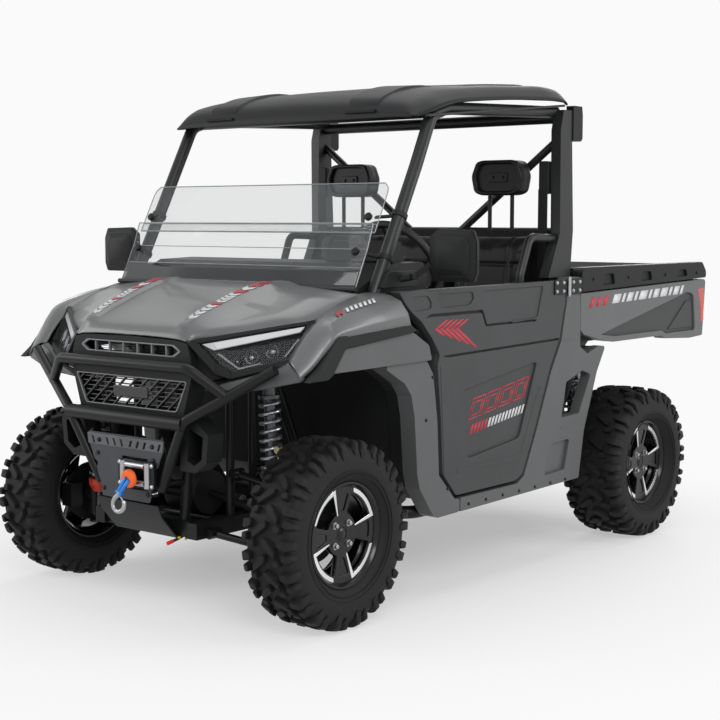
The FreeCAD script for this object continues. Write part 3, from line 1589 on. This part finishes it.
def bed_tub():
    """Open tub with its floor, front wall and side walls."""
    half = across(bed_half_share)
    front, rear = along(bed_front_share), along(bed_rear_share)
    floor, top = up(bed_floor_share), up(bed_top_share)
    inner, over = half - BED_WALL, rear + CUT_OVERRUN
    tub = block(-half, half, front, rear, floor, top)
    tub = tub.cut(block(-inner, inner, front + BED_WALL, over, floor + BED_WALL, top + CUT_OVERRUN))
    tub = tub.cut(block(-inner, inner, rear - FLOOR_SETBACK, over, floor - CUT_OVERRUN, top + CUT_OVERRUN))
    for share in tie_down_shares:
        for x in (-TIE_DOWN_X, TIE_DOWN_X):
            low = V(x, along(share), floor - CUT_OVERRUN)
            tub = tub.cut(rod(low, low + V(0, 0, CUT_OVERRUN * 3), TIE_DOWN_RADIUS))
    return tub


def cargo_bed():
    """Tub with the two beams beneath it and the pins of its hinge."""
    floor = up(bed_floor_share)
    y0, y1 = (along(s) for s in bed_subframe_shares)
    y, z = along(bed_pivot_share), floor - BED_PIVOT_DROP
    reach = BED_SUBFRAME - PLATE / 2 - RUNNING_GAP
    parts = [bed_tub()]
    for x in (-RAIL_X, RAIL_X):
        parts.append(block(x - BED_SUBFRAME / 2, x + BED_SUBFRAME / 2, y0, y1, floor - BED_SUBFRAME, floor))
        parts.append(rod(V(x - reach, y, z), V(x + reach, y, z), BED_PIVOT_RADIUS))
    return [fused(parts)]


def bed_side():
    inner, outer = across(bed_half_share) + RUNNING_GAP, across(bed_side_x_share)
    panel = side_slab(bed_side_shares, inner, outer, PANEL * 2)
    panel = panel.cut(side_slab(bed_recess_shares, outer - RECESS, outer + CUT_OVERRUN, PANEL * 3))
    return panel.cut(side_slab(tail_lamp_shares, outer - PANEL * 3, outer + CUT_OVERRUN))


def bed_rail():
    inner, outer = across(bed_half_share) + RUNNING_GAP, across(bed_rail_x_share)
    return side_slab(bed_rail_shares, inner, outer, PANEL * 2)


def tail_lamp():
    outer = across(bed_side_x_share)
    return side_slab(tail_lamp_shares, outer - PANEL * 3 + RUNNING_GAP, outer + PANEL / 2)


ear_shares = [
    (1.1202, 0.5417), (1.1442, 0.5417), (1.1769, 0.6024), (1.1769, 0.6417), (1.1562, 0.6417),
]


def bed_pivot_ears():
    """Ears on the frame that carry the bed's hinge, with the block that holds them."""
    front, rear = along(ear_shares[0][0]), along(ear_shares[1][0])
    z = up(ear_shares[0][1])
    ears = [block(RAIL_X - BED_SUBFRAME, RAIL_X + BED_SUBFRAME, front, rear, z - PLATE, z + PLATE * 2)]
    for x in (RAIL_X - BED_SUBFRAME, RAIL_X + BED_SUBFRAME):
        ear = side_slab(ear_shares, x - PLATE / 2, x + PLATE / 2)
        ears.append(ear)
    return ears


TAILGATE_WALL = 30.0
TAILGATE_GAP = 7.0
TAILGATE_RECESS_SHARES = (0.8, 0.25)


def tailgate():
    """Gate between the side walls, with a pressed panel and a hinge pin at each side."""
    half = across(bed_half_share) - BED_WALL - TAILGATE_GAP
    low, high = up(bed_floor_share), up(bed_top_share) - PANEL * 2
    rear = along(bed_rear_share) - PLATE
    middle = rear - TAILGATE_WALL / 2
    panel = block(-half, half, rear - TAILGATE_WALL, rear, low, high)
    wide, margin = half * TAILGATE_RECESS_SHARES[0], (high - low) * TAILGATE_RECESS_SHARES[1]
    parts = [panel.cut(block(-wide, wide, rear - PLATE, rear + PLATE, low + margin, high - margin))]
    z = low + TAILGATE_WALL / 2
    for side in (-1, 1):
        start = V(side * (half - PLATE), middle, z)
        end = V(side * (half + TAILGATE_GAP - RUNNING_GAP), middle, z)
        parts.append(rod(start, end, TAILGATE_WALL / 4))
    return [fused(parts)]


# Writing of the sub-parts

os.makedirs("parts", exist_ok=True)

export("frame", frame())
export("front_tower", front_tower())
export("rear_tower", rear_tower())
export("cab_floor", cab_floor())
export("seat_box", seat_box())
export("cab_wall", cab_wall())
export("skid_plate", skid_plate())
export("brush_guard", brush_guard())
export("winch_plate", winch_plate())
export("winch", winch())
export("hood", hood())
export("front_fenders", both(fender()))
export("front_fascia", front_fascia())
export("headlamps", both(headlamp()))
export("grilles", [main_grille(), upper_grille()])
export("arch_liners", both(arch_liner()))
export("fender_legs", both(fender_leg()))
export("quarter_panels", both(quarter_panel()))
export("side_ducts", both(side_duct()))
for name, shape in zip(("door_left", "door_right"), both(fused([door()] + door_hinge_leaf()))):
    export(name, [shape])
export("hinge_brackets", both(hinge_bracket()))
export("cage", cage())
export("rear_brackets", both(rear_bracket()))
export("roof", roof())
export("windscreen", windscreen())
export("screen_clamps", [p for clamp in screen_clamp() for p in both(clamp)])
export("mirrors", both(mirror()))
export("seat_cushions", seat_blocks(cushion_shares, SEAT_GAP, V(0, 0, RUNNING_GAP)))
export("seat_backs", seat_blocks(back_shares, SEAT_GAP, V(0, -RUNNING_GAP, 0)))
export("headrests", both(headrest()))
export("headrest_posts", both(Part.makeCompound(headrest_stalk())))
export("dash", dash())
export("steering_column", steering_column())
export("steering_wheel", steering_wheel())
export("engine", engine())
export("exhaust", exhaust())
export("suspension_arms", suspension_arms())
export("shock_absorbers", shocks())
export("drive_shafts", drive_shafts())
rear_hub = fused(knuckle(REAR_AXLE_Y, REAR_UPRIGHT_X, REAR_WHEEL_X, REAR_RIM_WIDTH))
export("rear_hubs", both(rear_hub))
front_knuckle = fused(knuckle(FRONT_AXLE_Y, KINGPIN_X, FRONT_WHEEL_X, FRONT_RIM_WIDTH)
                      + steering_arm(FRONT_AXLE_Y, KINGPIN_X))
export("knuckle_left", [front_knuckle])
export("knuckle_right", [flip(front_knuckle)])
export("tie_rods", tie_rods())
export("steering_rack", [rack_housing()])
for end, axle_y, wheel_x, width, rim_width in (
        ("front", FRONT_AXLE_Y, FRONT_WHEEL_X, FRONT_TYRE_WIDTH, FRONT_RIM_WIDTH),
        ("rear", REAR_AXLE_Y, REAR_WHEEL_X, REAR_TYRE_WIDTH, REAR_RIM_WIDTH)):
    rubber = tyre(axle_y, width, rim_width)
    rubber.translate(V(wheel_x, 0, 0))
    for label, side in (("left", 1), ("right", -1)):
        export("rim_" + end + "_" + label, [rim(wheel_x, axle_y, rim_width, side)])
        export("tyre_" + end + "_" + label, [rubber if side > 0 else flip(rubber)])
export("cargo_bed", cargo_bed())
export("bed_sides", both(bed_side()))
export("bed_rails", both(bed_rail()))
export("tail_lamps", both(tail_lamp()))
export("tailgate", tailgate())
